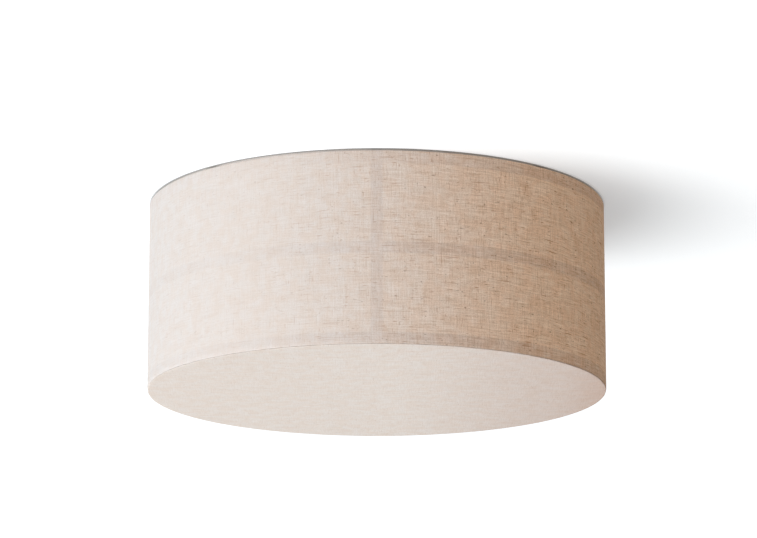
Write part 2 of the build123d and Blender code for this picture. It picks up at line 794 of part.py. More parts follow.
earth_point = polar_point(earth_angle, earth_radius)
barrel_radius = lead_diameter / 2 + fit_clearance + barrel_wall
barrel_start = earth_radius - tag_reach
tag_under_z = pan_under_z - tag_thickness
barrel_z = pan_under_z - barrel_radius
with BuildPart() as earth_tag:
    with BuildSketch(level_plane(earth_angle, pan_under_z)):
        with Locations((earth_radius, 0)):
            Circle(tag_diameter / 2)
        with Locations((earth_radius - tag_reach / 2, 0)):
            Rectangle(tag_reach, tag_width)
        with Locations((earth_radius, 0)):
            Circle(earth_screw_diameter / 2 + fit_clearance, mode=Mode.SUBTRACT)
    extrude(amount=-tag_thickness)
    with BuildSketch(radial_face(earth_angle, barrel_start - barrel_length, barrel_z)):
        Circle(barrel_radius)
    extrude(amount=barrel_length)
    with BuildSketch(radial_face(earth_angle, barrel_start - barrel_length, barrel_z)):
        Circle(lead_diameter / 2 + fit_clearance)
    extrude(amount=barrel_length, mode=Mode.SUBTRACT)
earth_tag.part.label = "earth_tag"
export_step(earth_tag.part, "parts/earth_tag.step")

with BuildPart() as earth_screw:
    with BuildSketch(Plane.XY.offset(tag_under_z)):
        with Locations(earth_point):
            Circle(earth_screw_diameter / 2)
    extrude(amount=tag_thickness + pan_sheet)
    with BuildSketch(Plane.XY.offset(tag_under_z)):
        with Locations(earth_point):
            Circle(earth_head_diameter / 2)
    extrude(amount=-earth_head_height)
    fillet(earth_screw.edges().group_by(Axis.Z)[0], radius=earth_head_height / 3)
    with BuildSketch(Plane.XY.offset(tag_under_z - earth_head_height)):
        with Locations(earth_point):
            Rectangle(earth_head_diameter, slot_width)
            Rectangle(slot_width, earth_head_diameter)
    extrude(amount=slot_depth, mode=Mode.SUBTRACT)
earth_screw.part.label = "earth_screw"
export_step(earth_screw.part, "parts/earth_screw.step")

# ---- Internal leads ----


def corner_radii(points):
    """The radius at each corner of a route, as large as its two runs leave room for."""
    vectors = [Vector(*point) for point in points]
    radii = []
    for before, corner, after in zip(vectors, vectors[1:], vectors[2:]):
        first_run = corner - before
        second_run = after - corner
        half_turn = radians(first_run.get_angle(second_run)) / 2
        radii.append(arc_share * min(first_run.length, second_run.length) * cos(half_turn) / sin(half_turn))
    return radii


def lead_route(port, lamp_angle, across, bend_share):
    """From a port of the terminal block down, and outward into a lampholder's nipple.

    The first bend lies at a share of the drop from the block to the axis of the lamps.
    """
    port_x, port_y = port
    bend_z = block_under_z + bend_share * (lamp_axis_z - block_under_z)
    turn_x, turn_y = polar_point(lamp_angle, lead_entry_radius, across)
    end_x, end_y = polar_point(lamp_angle, nipple_start + lead_in_nipple, across)
    return [
        (port_x, port_y, block_under_z + lead_port_depth),
        (port_x, port_y, bend_z),
        (turn_x, turn_y, lamp_axis_z),
        (end_x, end_y, lamp_axis_z),
    ]


def print_route(name, points, radii):
    """Reports the radii of a route, and the length of its runs."""
    runs = [round((Vector(*b) - Vector(*a)).length, 1) for a, b in zip(points, points[1:])]
    print(name, "runs", runs, "radii", [round(radius, 1) for radius in radii])


earth_x, neutral_x, live_x = pole_positions
front_row, middle_row, back_row = port_rows
lead_side = lead_spacing / 2
lead_routes = {
    "live_leads": [
        lead_route((live_x, middle_row), lamp_angles[0], -lead_side, 0.21),
        lead_route((live_x, front_row), lamp_angles[1], lead_side, 0.21),
        lead_route((live_x, back_row), lamp_angles[2], lead_side, 0.47),
    ],
    "neutral_leads": [
        lead_route((neutral_x, back_row), lamp_angles[0], lead_side, 0.65),
        lead_route((neutral_x, middle_row), lamp_angles[1], -lead_side, 0.52),
        lead_route((neutral_x, front_row), lamp_angles[2], -lead_side, 0.30),
    ],
}
for lead_name, routes in lead_routes.items():
    with BuildPart() as leads:
        for points in routes:
            radii = corner_radii(points)
            print_route(lead_name, points, radii)
            with BuildLine() as lead_line:
                FilletPolyline(*points, radius=radii)
            with BuildSketch(Plane(origin=lead_line.line @ 0, z_dir=lead_line.line % 0)):
                Circle(lead_diameter / 2)
            sweep(path=lead_line.line)
    leads.part.label = lead_name
    export_step(leads.part, f"parts/{lead_name}.step")

# The earth lead hangs in a shallow loop between its port and the barrel of its tag
earth_route = [
    (earth_x, front_row, block_under_z + lead_port_depth),
    (earth_x, front_row, -25.0),
    (-10.5, 7.0, -32.0),
    (-12.0, -3.0, -25.0),
    (-13.0, -7.5, -10.0),
    (*polar_point(earth_angle, barrel_start - barrel_length - earth_lead_run), barrel_z),
    (*polar_point(earth_angle, barrel_start - barrel_end_margin), barrel_z),
]
earth_radii = corner_radii(earth_route)
print_route("earth_lead", earth_route, earth_radii)
with BuildPart() as earth_lead:
    with BuildLine() as earth_line:
        FilletPolyline(*earth_route, radius=earth_radii)
    with BuildSketch(Plane(origin=earth_line.line @ 0, z_dir=earth_line.line % 0)):
        Circle(lead_diameter / 2)
    sweep(path=earth_line.line)
earth_lead.part.label = "earth_lead"
export_step(earth_lead.part, "parts/earth_lead.step")
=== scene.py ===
import json
import math
import random

import bpy
import numpy as np
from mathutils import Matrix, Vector


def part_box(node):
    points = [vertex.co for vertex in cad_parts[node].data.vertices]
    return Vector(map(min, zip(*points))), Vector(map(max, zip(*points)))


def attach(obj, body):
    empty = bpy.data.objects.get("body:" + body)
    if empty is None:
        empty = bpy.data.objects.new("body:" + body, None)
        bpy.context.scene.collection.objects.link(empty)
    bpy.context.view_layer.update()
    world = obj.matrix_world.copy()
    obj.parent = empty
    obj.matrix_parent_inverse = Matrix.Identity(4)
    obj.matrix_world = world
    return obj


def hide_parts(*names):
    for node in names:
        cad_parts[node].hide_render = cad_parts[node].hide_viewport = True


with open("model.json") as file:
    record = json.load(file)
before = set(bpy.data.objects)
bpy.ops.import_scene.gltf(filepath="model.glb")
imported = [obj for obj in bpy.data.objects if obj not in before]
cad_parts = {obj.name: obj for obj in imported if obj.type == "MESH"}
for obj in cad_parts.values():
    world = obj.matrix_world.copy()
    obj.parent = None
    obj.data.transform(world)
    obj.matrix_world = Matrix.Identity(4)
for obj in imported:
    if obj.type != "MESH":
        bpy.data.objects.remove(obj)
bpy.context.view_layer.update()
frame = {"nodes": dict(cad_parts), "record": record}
cadNodes = frame["nodes"]
scene = bpy.context.scene
print("frame loaded:", len(cadNodes), "nodes")

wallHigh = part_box("fabric_wall")[1]
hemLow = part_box("top_hem")[0]
bottomLow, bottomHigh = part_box("fabric_bottom")
drumRadius = wallHigh.x
drumTop = wallHigh.z
drumBottom = bottomLow.z
clothThickness = bottomHigh.z - bottomLow.z
mm = 0.001

cameraValues = {
    "aim": (0.0, 0.0, -0.12),
    "distance": 4.989,
    "lookUp": 13.02,  # degrees above the horizon
    "lens": 180.17,
    "sensor": 36.0,
    "shift": (0.0022, 0.0359),
    "clip": (0.05, 60.0),
}


def addCamera(values):
    tilt = math.radians(values["lookUp"])
    back = Vector((0, -math.cos(tilt), -math.sin(tilt)))
    data = bpy.data.cameras.new("photoCamera")
    data.lens = values["lens"]
    data.sensor_width = values["sensor"]
    data.shift_x, data.shift_y = values["shift"]
    data.clip_start, data.clip_end = values["clip"]
    camera = bpy.data.objects.new("photoCamera", data)
    camera.location = Vector(values["aim"]) + back * values["distance"]
    camera.rotation_mode = "QUATERNION"
    camera.rotation_quaternion = (-back).to_track_quat("-Z", "Y")
    scene.collection.objects.link(camera)
    scene.camera = camera


addCamera(cameraValues)
scene.view_settings.view_transform = "Standard"
print("camera placed")


# Short names for the nodes that the materials use most
def setSocket(socket, value):
    if isinstance(value, bpy.types.NodeSocket):
        socket.id_data.links.new(value, socket)
    else:
        socket.default_value = value


def calc(tree, operation, a, b=0.0):
    made = tree.nodes.new("ShaderNodeMath")
    made.operation = operation
    setSocket(made.inputs[0], a)
    setSocket(made.inputs[1], b)
    return made.outputs[0]


def ramp(tree, value, low, high, toLow=0.0, toHigh=1.0):
    made = tree.nodes.new("ShaderNodeMapRange")
    made.interpolation_type = "SMOOTHSTEP"
    setSocket(made.inputs["Value"], value)
    setSocket(made.inputs["From Min"], low)
    setSocket(made.inputs["From Max"], high)
    setSocket(made.inputs["To Min"], toLow)
    setSocket(made.inputs["To Max"], toHigh)
    return made.outputs["Result"]


def mixColour(tree, factor, a, b, blend="MIX"):
    made = tree.nodes.new("ShaderNodeMix")
    made.data_type = "RGBA"
    made.blend_type = blend
    setSocket(made.inputs[0], factor)
    setSocket(made.inputs[6], a)
    setSocket(made.inputs[7], b)
    return made.outputs[2]


def noise(tree, vector, scale=1.0, detail=2.0, rough=0.5, kind="3D"):
    made = tree.nodes.new("ShaderNodeTexNoise")
    made.noise_dimensions = kind
    setSocket(made.inputs["Vector"], vector)
    made.inputs["Scale"].default_value = scale
    made.inputs["Detail"].default_value = detail
    made.inputs["Roughness"].default_value = rough
    return made.outputs[0]


def stretched(tree, vector, scales, move=0.0):
    made = tree.nodes.new("ShaderNodeMapping")
    setSocket(made.inputs["Vector"], vector)
    made.inputs["Scale"].default_value = scales
    made.inputs["Location"].default_value = (move, -move, 0.0)
    return made.outputs[0]


def splitVector(tree, vector):
    made = tree.nodes.new("ShaderNodeSeparateXYZ")
    setSocket(made.inputs[0], vector)
    return made.outputs


def joinVector(tree, x, y, z=0.0):
    made = tree.nodes.new("ShaderNodeCombineXYZ")
    for socket, value in zip(made.inputs, (x, y, z)):
        setSocket(socket, value)
    return made.outputs[0]


def startGroup(name, ins, outs):
    tree = bpy.data.node_groups.new(name, "ShaderNodeTree")
    for socketName, value in ins.items():
        kind = "NodeSocketVector" if value is None else "NodeSocketFloat"
        socket = tree.interface.new_socket(name=socketName, in_out="INPUT", socket_type=kind)
        if value is not None:
            socket.default_value = value
    for socketName in outs:
        tree.interface.new_socket(name=socketName, in_out="OUTPUT", socket_type="NodeSocketFloat")
    return tree, tree.nodes.new("NodeGroupInput").outputs, tree.nodes.new("NodeGroupOutput").inputs


def useGroup(tree, group, given):
    made = tree.nodes.new("ShaderNodeGroup")
    made.node_tree = group
    for name, value in given.items():
        setSocket(made.inputs[name], value)
    return made.outputs


def startMaterial(name, roughness, metallic=0.0):
    material = bpy.data.materials.new(name)
    material.use_nodes = True
    tree = material.node_tree
    shader = tree.nodes["Principled BSDF"]
    shader.inputs["Roughness"].default_value = roughness
    shader.inputs["Metallic"].default_value = metallic
    place = tree.nodes.new("ShaderNodeTexCoord").outputs["Object"]
    return material, tree, shader, place


def addBump(tree, shader, height, distance):
    bump = tree.nodes.new("ShaderNodeBump")
    bump.inputs["Distance"].default_value = distance
    bump.inputs["Strength"].default_value = 1.0
    setSocket(bump.inputs["Height"], height)
    setSocket(shader.inputs["Normal"], bump.outputs[0])


# The threads. A stretch says how fine the noise is along, across and through the cloth.
weaveValues = {
    "threadPitch": 0.75 * mm,
    "drift": 3.0 * mm,  # how far a thread wanders from straight
    "driftAlong": (13, 26, 1),
    "driftAcross": (26, 13, 1),
    "weft": (28, 600, 1),
    "warp": (600, 34, 1),
    "weftShare": 1.15,
    "grain": 640,
    "grainShare": 0.9,
    "toneSpan": 0.66,
    "crossings": 0.35,  # over and under of a plain weave
    "crossingTone": 0.5,
    "thickness": 0.8,
    # stretch, place in the noise, and the noise's levels where the mark starts and is full
    "slubs": (
        ((26, 560, 1), 3.1, 0.70, 0.86),
        ((85, 620, 1), 11.7, 0.69, 0.83),
        ((560, 40, 1), 5.9, 0.73, 0.88),
        ((620, 110, 1), 17.1, 0.71, 0.85),
    ),
    "slubClusters": 22,
    "knots": ((190, 380, 1), 23.0, 0.76, 0.84),
    "knotClusters": 75,
    "paleThreads": ((44, 560, 1), 41.0, 0.60, 0.78),
    "patches": 52,
    "steadyPatches": 0.4,  # the share of the patches that doesn't fade with the contrast
}


def buildWeaveGroup(values):
    tree, given, out = startGroup(
        "linenWeave",
        {"Cloth": None, "Contrast": 1.0, "Thread Pitch": values["threadPitch"]},
        ["Tone", "Slubs", "Knots", "Pale Threads", "Patches", "Height"],
    )
    cloth, contrast, pitch = given["Cloth"], given["Contrast"], given["Thread Pitch"]

    # The threads aren't quite straight
    def drift(stretch, move):
        wander = noise(tree, stretched(tree, cloth, stretch, move), detail=1, kind="2D")
        return calc(tree, "MULTIPLY", calc(tree, "SUBTRACT", wander, 0.5), values["drift"])

    straight = splitVector(tree, cloth)
    bentU = calc(tree, "ADD", straight[0], drift(values["driftAlong"], 3.3))
    bentV = calc(tree, "ADD", straight[1], drift(values["driftAcross"], 8.8))
    bent = joinVector(tree, bentU, bentV)

    def threads(stretch, move, detail=0.0, rough=0.5):
        return noise(tree, stretched(tree, bent, stretch, move), detail=detail, rough=rough, kind="2D")

    def marks(row, detail=0.0, rough=0.5):
        stretch, move, low, high = row
        return ramp(tree, threads(stretch, move, detail, rough), low, high)

    weft = threads(values["weft"], 0.0, 3, 0.66)
    warp = threads(values["warp"], 7.3, 3, 0.66)
    grain = noise(tree, cloth, values["grain"], detail=2, rough=0.6, kind="2D")
    streaks = calc(tree, "ADD", calc(tree, "MULTIPLY", weft, values["weftShare"]), warp)
    mottle = calc(tree, "MULTIPLY", grain, values["grainShare"])
    middle = (values["weftShare"] + 1 + values["grainShare"]) / 2
    centred = calc(tree, "SUBTRACT", calc(tree, "ADD", streaks, mottle), middle)

    turnU, turnV = (
        calc(tree, "SINE", calc(tree, "MULTIPLY", calc(tree, "DIVIDE", along, pitch), math.pi))
        for along in (bentU, bentV)
    )
    crossings = calc(tree, "MULTIPLY", calc(tree, "MULTIPLY", turnU, turnV), values["crossings"])
    centred = calc(tree, "ADD", centred, calc(tree, "MULTIPLY", crossings, values["crossingTone"]))
    tone = calc(tree, "MULTIPLY", calc(tree, "MULTIPLY", centred, values["toneSpan"]), contrast)
    setSocket(out["Tone"], calc(tree, "ADD", tone, 0.5))

    # Thick places, long and short, both ways
    thickPlaces = 0.0
    for row in values["slubs"]:
        thickPlaces = calc(tree, "MAXIMUM", marks(row, 1, 0.35), thickPlaces)
    clusters = noise(tree, cloth, values["slubClusters"], detail=3, kind="2D")
    slubs = calc(tree, "MULTIPLY", thickPlaces, ramp(tree, clusters, 0.30, 0.60, 0.50, 1.0))
    setSocket(out["Slubs"], calc(tree, "MULTIPLY", slubs, contrast))

    clusters = noise(tree, cloth, values["knotClusters"], detail=1, kind="2D")
    knots = calc(tree, "MULTIPLY", marks(values["knots"]), ramp(tree, clusters, 0.55, 0.66))
    setSocket(out["Knots"], calc(tree, "MULTIPLY", knots, contrast))
    pale = marks(values["paleThreads"], 1)
    setSocket(out["Pale Threads"], calc(tree, "MULTIPLY", pale, contrast))

    patches = noise(tree, cloth, values["patches"], detail=3, rough=0.65, kind="2D")
    patches = ramp(tree, patches, 0.33, 0.67, -0.5, 0.5)
    steady = values["steadyPatches"]
    partly = calc(tree, "ADD", calc(tree, "MULTIPLY", contrast, 1 - steady), steady)
    setSocket(out["Patches"], calc(tree, "ADD", calc(tree, "MULTIPLY", patches, partly), 0.5))

    thick = calc(tree, "MULTIPLY", calc(tree, "ADD", thickPlaces, streaks), values["thickness"])
    setSocket(out["Height"], calc(tree, "ADD", crossings, thick))
    return tree


barValues = {
    "blur": 1.3 * mm,
    # how dark each ring's painted shade is
    "rings": {"frame_top_ring": 0.62, "frame_middle_ring": 0.74, "frame_bottom_ring": 0.92},
}


# Painted shade of the frame's flat bars, where they lie behind the cloth and keep back the light through it
def buildBarsGroup(values):
    masks = ["Top Ring", "Other Rings", "Uprights"]
    tree, given, out = startGroup("barShadowsThroughCloth", {"Position": None}, masks)
    x, y, z = splitVector(tree, given["Position"])
    blur = values["blur"]
    bands = []
    for name, share in values["rings"].items():
        low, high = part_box(name)
        rise = ramp(tree, z, low.z - blur, low.z + blur)
        fall = ramp(tree, z, high.z - blur, high.z + blur, share, 0.0)
        bands.append(calc(tree, "MULTIPLY", rise, fall))
    setSocket(out["Top Ring"], bands[0])
    setSocket(out["Other Rings"], calc(tree, "MAXIMUM", bands[1], bands[2]))
    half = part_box("frame_upright_front")[1].x
    nearMiddle = calc(tree, "MINIMUM", calc(tree, "ABSOLUTE", x), calc(tree, "ABSOLUTE", y))
    setSocket(out["Uprights"], ramp(tree, nearMiddle, half - blur, half + blur, 1.0, 0.0))
    return tree


weaveGroup = buildWeaveGroup(weaveValues)
barsGroup = buildBarsGroup(barValues)

# Linen: every thread has its own tone, and some are thicker and browner for a while
linenValues = {
    "cloth": (0.775, 0.555, 0.39, 1),
    "paintedLitSide": (0.83, 0.77, 0.738, 1),  # painted light: the cloth is lighter on the side towards the window
    "paintedShadeEnd": (0.735, 0.505, 0.335, 1),  # painted shade: darker at the side away from it
    "paintedShadeFrom": 0.25,
    "slub": (0.42, 0.215, 0.112, 1),
    "slubStrength": 0.74,
    "knot": (0.22, 0.105, 0.045, 1),
    "knotStrength": 0.55,
    "paleThread": (0.93, 0.84, 0.74, 1),
    "paleStrength": 0.20,
    "darkThread": (0.66, 0.57, 0.47, 1),
    "lightThread": (1.31, 1.40, 1.50, 1),
    "warmPatch": (0.985, 0.95, 0.915, 1),
    "coolPatch": (1.01, 1.035, 1.05, 1),
    "paintedLightFrom": 0.27,  # metres to the right, where the painted light ends
    "paintedLightTo": -0.10,
    "contrastFrom": 0.24,
    "contrastTo": -0.19,
    "contrast": 1.28,
    "litSideContrast": 0.22,  # how much of the thread pattern shows on the lit side; it shows more away from the window, as painted light through the cloth
    "barShade": (0.868, 0.867, 0.892, 1),
    "uprightShare": 0.8,
    "weaveDepth": 0.06 * mm,
    "roughness": 0.92,
    "sheen": 0.03,
    "sheenRoughness": 0.6,
    "specular": 0.1,
}
bottomLinenValues = {
    **linenValues,
    # painted light and shade across the bottom cloth too, lighter towards the window and darker at the far
    # end
    "cloth": (0.70, 0.60, 0.55, 1),
    "paintedLitSide": (0.82, 0.755, 0.71, 1),
    "paintedShadeEnd": (0.65, 0.515, 0.45, 1),
    "paintedShadeFrom": 0.235,
    "paintedLightTo": 0.0,
    "litSideContrast": 0.33,
    "contrast": 0.44,
}


def makeLinen(name, values, flat):
    material, tree, shader, place = startMaterial(name, values["roughness"])
    x, y, z = splitVector(tree, place)
    if flat:
        cloth = joinVector(tree, x, y)
    else:
        # unrolled from the seam at the back
        turn = calc(tree, "ARCTAN2", x, calc(tree, "MULTIPLY", y, -1.0))
        cloth = joinVector(tree, calc(tree, "MULTIPLY", turn, drumRadius), z)
    # painted light and shade: the cloth's colour goes lighter towards the window and darker at the far end
    towardsLight = ramp(tree, x, values["paintedLightFrom"], values["paintedLightTo"])
    # painted light: threads and bar shades show more on the side away from the window, standing in for light
    # through the cloth
    contrast = ramp(
        tree, x, values["contrastTo"], values["contrastFrom"], values["litSideContrast"], values["contrast"]
    )
    weave = useGroup(tree, weaveGroup, {"Cloth": cloth, "Contrast": contrast})
    base = mixColour(tree, towardsLight, values["cloth"], values["paintedLitSide"])
    base = mixColour(tree, ramp(tree, x, values["paintedShadeFrom"], drumRadius), base, values["paintedShadeEnd"])
    patches = mixColour(tree, weave["Patches"], values["coolPatch"], values["warmPatch"])
    tones = mixColour(tree, weave["Tone"], values["darkThread"], values["lightThread"])
    for tint in (patches, tones):
        base = mixColour(tree, 1.0, base, tint, "MULTIPLY")
    for mask, strength, colour in (
        ("Pale Threads", "paleStrength", "paleThread"),
        ("Slubs", "slubStrength", "slub"),
        ("Knots", "knotStrength", "knot"),
    ):
        base = mixColour(tree, calc(tree, "MULTIPLY", weave[mask], values[strength]), base, values[colour])
    if not flat:
        # painted shade of the frame's bars behind the cloth, darker on the side away from the window
        bars = useGroup(tree, barsGroup, {"Position": place})
        uprights = calc(tree, "MULTIPLY", bars["Uprights"], values["uprightShare"])
        topRing = calc(tree, "MULTIPLY", bars["Top Ring"], contrast)
        seen = calc(tree, "MAXIMUM", bars["Other Rings"], calc(tree, "MAXIMUM", uprights, topRing))
        shaded = mixColour(tree, 1.0, base, values["barShade"], "MULTIPLY")
        base = mixColour(tree, calc(tree, "MULTIPLY", seen, contrast), base, shaded)
    setSocket(shader.inputs["Base Color"], base)
    shader.inputs["Sheen Weight"].default_value = values["sheen"]
    shader.inputs["Sheen Roughness"].default_value = values["sheenRoughness"]
    shader.inputs["Specular IOR Level"].default_value = values["specular"]
    addBump(tree, shader, weave["Height"], values["weaveDepth"])
    return material


wallLinen = makeLinen("bleachedLinenWall", linenValues, flat=False)
flatLinen = makeLinen("bleachedLinenBottom", bottomLinenValues, flat=True)
print("linen ready")

dustValues = {
    "colour": (0.62, 0.58, 0.53, 1),
    "liesFrom": 0.55,  # how far up a face must look before dust stays on it
    "liesFully": 0.98,
    "clouds": 55,
    "specks": 900,
}


# Dust that settles on faces that look up
def buildDustGroup(values):
    tree, given, out = startGroup("settledDust", {"Position": None, "Amount": 0.3}, ["Dust"])
    facing = splitVector(tree, tree.nodes.new("ShaderNodeNewGeometry").outputs["True Normal"])[2]
    level = ramp(tree, facing, values["liesFrom"], values["liesFully"])
    clouds = noise(tree, given["Position"], values["clouds"], detail=4, rough=0.6)
    specks = noise(tree, given["Position"], values["specks"], detail=1)
    both = calc(tree, "MAXIMUM", ramp(tree, clouds, 0.30, 0.72, 0.35, 1.0), ramp(tree, specks, 0.62, 0.72))
    setSocket(out["Dust"], calc(tree, "MULTIPLY", calc(tree, "MULTIPLY", level, both), given["Amount"]))
    return tree


wearValues = {
    "patches": 48,
    "scratchesAlong": (60, 1500, 1500),
    "scratchesAcross": (1500, 80, 1500),
}


# Handling marks: wiped patches and fine scratches in two directions
def buildWearGroup(values):
    tree, given, out = startGroup("handlingMarks", {"Position": None, "Size": 1.0}, ["Patches", "Scratches"])
    scaled = tree.nodes.new("ShaderNodeVectorMath")
    scaled.operation = "SCALE"
    setSocket(scaled.inputs[0], given["Position"])
    setSocket(scaled.inputs["Scale"], given["Size"])
    place = scaled.outputs[0]
    patches = noise(tree, place, values["patches"], detail=4, rough=0.6)
    setSocket(out["Patches"], ramp(tree, patches, 0.35, 0.65))
    first = noise(tree, stretched(tree, place, values["scratchesAlong"], 2.7), detail=1)
    second = noise(tree, stretched(tree, place, values["scratchesAcross"], 9.1), detail=1)
    both = calc(tree, "MAXIMUM", ramp(tree, first, 0.66, 0.74), ramp(tree, second, 0.68, 0.76))
    setSocket(out["Scratches"], both)
    return tree


dustGroup = buildDustGroup(dustValues)
wearGroup = buildWearGroup(wearValues)


# Gives the shader its colour with dust over it
def colourUnderDust(tree, shader, place, base, amount):
    dust = useGroup(tree, dustGroup, {"Position": place, "Amount": amount})["Dust"]
    setSocket(shader.inputs["Base Color"], mixColour(tree, dust, base, dustValues["colour"]))
    return dust


def makePaint(name, values):
    material, tree, shader, place = startMaterial(name, values["roughness"])
    marks = useGroup(tree, wearGroup, {"Position": place, "Size": 0.8})
    base = mixColour(tree, calc(tree, "MULTIPLY", marks["Patches"], 0.5), values["colour"], values["shade"])
    dust = colourUnderDust(tree, shader, place, base, values["dust"])
    rough = ramp(tree, marks["Patches"], 0.0, 1.0, values["roughness"] - 0.07, values["roughness"] + 0.06)
    setSocket(shader.inputs["Roughness"], calc(tree, "ADD", rough, calc(tree, "MULTIPLY", dust, 0.5)))
    peel = noise(tree, place, 620, detail=2, rough=0.55)
    fine = noise(tree, place, 2100, detail=1)
    addBump(tree, shader, calc(tree, "ADD", peel, calc(tree, "MULTIPLY", fine, 0.35)), values["peel"])
    return material


def makeMetal(name, values):
    material, tree, shader, place = startMaterial(name, values["roughness"], metallic=1.0)
    marks = useGroup(tree, wearGroup, {"Position": place, "Size": 1.6})
    base = mixColour(tree, marks["Patches"], values["colour"], values["tarnish"])
    base = mixColour(tree, calc(tree, "MULTIPLY", marks["Scratches"], 0.45), base, values["bright"])
    dust = colourUnderDust(tree, shader, place, base, 0.22)
    rough = ramp(tree, marks["Patches"], 0.0, 1.0, values["roughness"] - 0.06, values["roughness"] + 0.10)
    setSocket(shader.inputs["Roughness"], calc(tree, "ADD", rough, calc(tree, "MULTIPLY", dust, 0.6)))
    setSocket(shader.inputs["Metallic"], calc(tree, "SUBTRACT", 1.0, dust))
    grain = calc(tree, "MULTIPLY", noise(tree, place, values["grain"], detail=2), 0.6)
    height = calc(tree, "SUBTRACT", grain, calc(tree, "MULTIPLY", marks["Scratches"], 0.5))
    addBump(tree, shader, height, values["grainDepth"])
    return material


def makePlastic(name, values):
    material, tree, shader, place = startMaterial(name, values["roughness"])
    marks = useGroup(tree, wearGroup, {"Position": place, "Size": 1.3})
    base = mixColour(tree, calc(tree, "MULTIPLY", marks["Patches"], 0.6), values["colour"], values["shade"])
    dust = colourUnderDust(tree, shader, place, base, values.get("dust", 0.25))
    rough = ramp(tree, marks["Patches"], 0.0, 1.0, values["roughness"] - 0.05, values["roughness"] + 0.07)
    rough = calc(tree, "ADD", rough, calc(tree, "MULTIPLY", marks["Scratches"], 0.10))
    setSocket(shader.inputs["Roughness"], calc(tree, "ADD", rough, calc(tree, "MULTIPLY", dust, 0.4)))
    addBump(tree, shader, noise(tree, place, 900, detail=2), values["grainDepth"])
    shader.inputs["Coat Weight"].default_value = values.get("coat", 0.0)
    shader.inputs["Coat Roughness"].default_value = 0.12
    return material


# Insulation of the earth lead: green with a yellow stripe that winds along it
def makeStriped(name, values):
    material, tree, shader, place = startMaterial(name, values["roughness"])
    x, y, z = splitVector(tree, place)
    diagonal = calc(tree, "ADD", calc(tree, "ADD", x, y), calc(tree, "MULTIPLY", z, values["slant"]))
    wave = calc(tree, "SINE", calc(tree, "MULTIPLY", diagonal, 2 * math.pi / values["pitch"]))
    base = mixColour(tree, ramp(tree, wave, -0.08, 0.08), values["colour"], values["stripe"])
    dust = colourUnderDust(tree, shader, place, base, 0.25)
    rough = calc(tree, "ADD", calc(tree, "MULTIPLY", dust, 0.4), values["roughness"])
    setSocket(shader.inputs["Roughness"], rough)
    addBump(tree, shader, noise(tree, place, 1300, detail=1), values["grainDepth"])
    return material


paintValues = {
    "frame_steel": {
        "colour": (0.60, 0.59, 0.57, 1), "shade": (0.52, 0.51, 0.49, 1),
        "roughness": 0.42, "peel": 0.035 * mm, "dust": 0.35,
    },
    "pan_white": {
        "colour": (0.83, 0.83, 0.81, 1), "shade": (0.76, 0.76, 0.74, 1),
        "roughness": 0.40, "peel": 0.03 * mm, "dust": 0.18,
    },
}
metalValues = {
    "zinc_steel": {
        "colour": (0.63, 0.64, 0.65, 1), "tarnish": (0.50, 0.52, 0.56, 1), "bright": (0.80, 0.80, 0.80, 1),
        "roughness": 0.34, "grain": 1500, "grainDepth": 0.015 * mm,
    },
    "brass": {
        "colour": (0.78, 0.57, 0.27, 1), "tarnish": (0.60, 0.40, 0.17, 1), "bright": (0.93, 0.77, 0.46, 1),
        "roughness": 0.28, "grain": 1800, "grainDepth": 0.012 * mm,
    },
    "nickel": {
        "colour": (0.66, 0.63, 0.58, 1), "tarnish": (0.52, 0.49, 0.44, 1), "bright": (0.84, 0.82, 0.78, 1),
        "roughness": 0.26, "grain": 1700, "grainDepth": 0.012 * mm,
    },
}
plasticValues = {
    "holder_plastic": {
        "colour": (0.055, 0.052, 0.05, 1), "shade": (0.08, 0.077, 0.074, 1),
        "roughness": 0.36, "grainDepth": 0.025 * mm,
    },
    "block_plastic": {
        "colour": (0.78, 0.77, 0.73, 1), "shade": (0.70, 0.68, 0.63, 1),
        "roughness": 0.42, "grainDepth": 0.02 * mm,
    },
    "opal_acrylic": {
        "colour": (0.84, 0.84, 0.82, 1), "shade": (0.80, 0.80, 0.775, 1),
        "roughness": 0.20, "grainDepth": 0.006 * mm, "dust": 0.30, "coat": 0.3,
    },
    "lamp_plastic": {
        "colour": (0.80, 0.80, 0.79, 1), "shade": (0.75, 0.745, 0.73, 1),
        "roughness": 0.38, "grainDepth": 0.015 * mm,
    },
    "lamp_opal": {
        "colour": (0.85, 0.85, 0.83, 1), "shade": (0.82, 0.82, 0.80, 1),
        "roughness": 0.24, "grainDepth": 0.005 * mm, "dust": 0.15, "coat": 0.4,
    },
    "grommet_rubber": {
        "colour": (0.028, 0.027, 0.026, 1), "shade": (0.05, 0.048, 0.046, 1),
        "roughness": 0.72, "grainDepth": 0.05 * mm,
    },
    "lead_brown": {
        "colour": (0.16, 0.065, 0.03, 1), "shade": (0.20, 0.085, 0.04, 1),
        "roughness": 0.40, "grainDepth": 0.02 * mm,
    },
    "lead_blue": {
        "colour": (0.045, 0.16, 0.42, 1), "shade": (0.06, 0.20, 0.48, 1),
        "roughness": 0.40, "grainDepth": 0.02 * mm,
    },
}
stripedValues = {
    "colour": (0.07, 0.30, 0.09, 1), "stripe": (0.80, 0.66, 0.08, 1),
    "roughness": 0.40, "pitch": 9 * mm, "slant": 1.4, "grainDepth": 0.02 * mm,
}
capGlassValues = {
    "colour": (0.02, 0.02, 0.024, 1), "shade": (0.03, 0.03, 0.034, 1),
    "roughness": 0.12, "grainDepth": 0.004 * mm, "coat": 0.5,
}

finishes = {"linen": wallLinen, "lead_earth": makeStriped("earthInsulation", stripedValues)}
for maker, table in ((makePaint, paintValues), (makeMetal, metalValues), (makePlastic, plasticValues)):
    for slotName, values in table.items():
        finishes[slotName] = maker(slotName.replace("_", " ").title().replace(" ", ""), values)
capGlass = makePlastic("capGlass", capGlassValues)

for part in frame["record"]["subparts"]:
    node = cadNodes[part["node"]]
    finish = finishes[part["material_slot"]]
    if len(node.data.materials) == 0:
        node.data.materials.append(finish)
    for index in range(len(node.data.materials)):
        node.data.materials[index] = finish
print("finishes ready:", len(finishes))


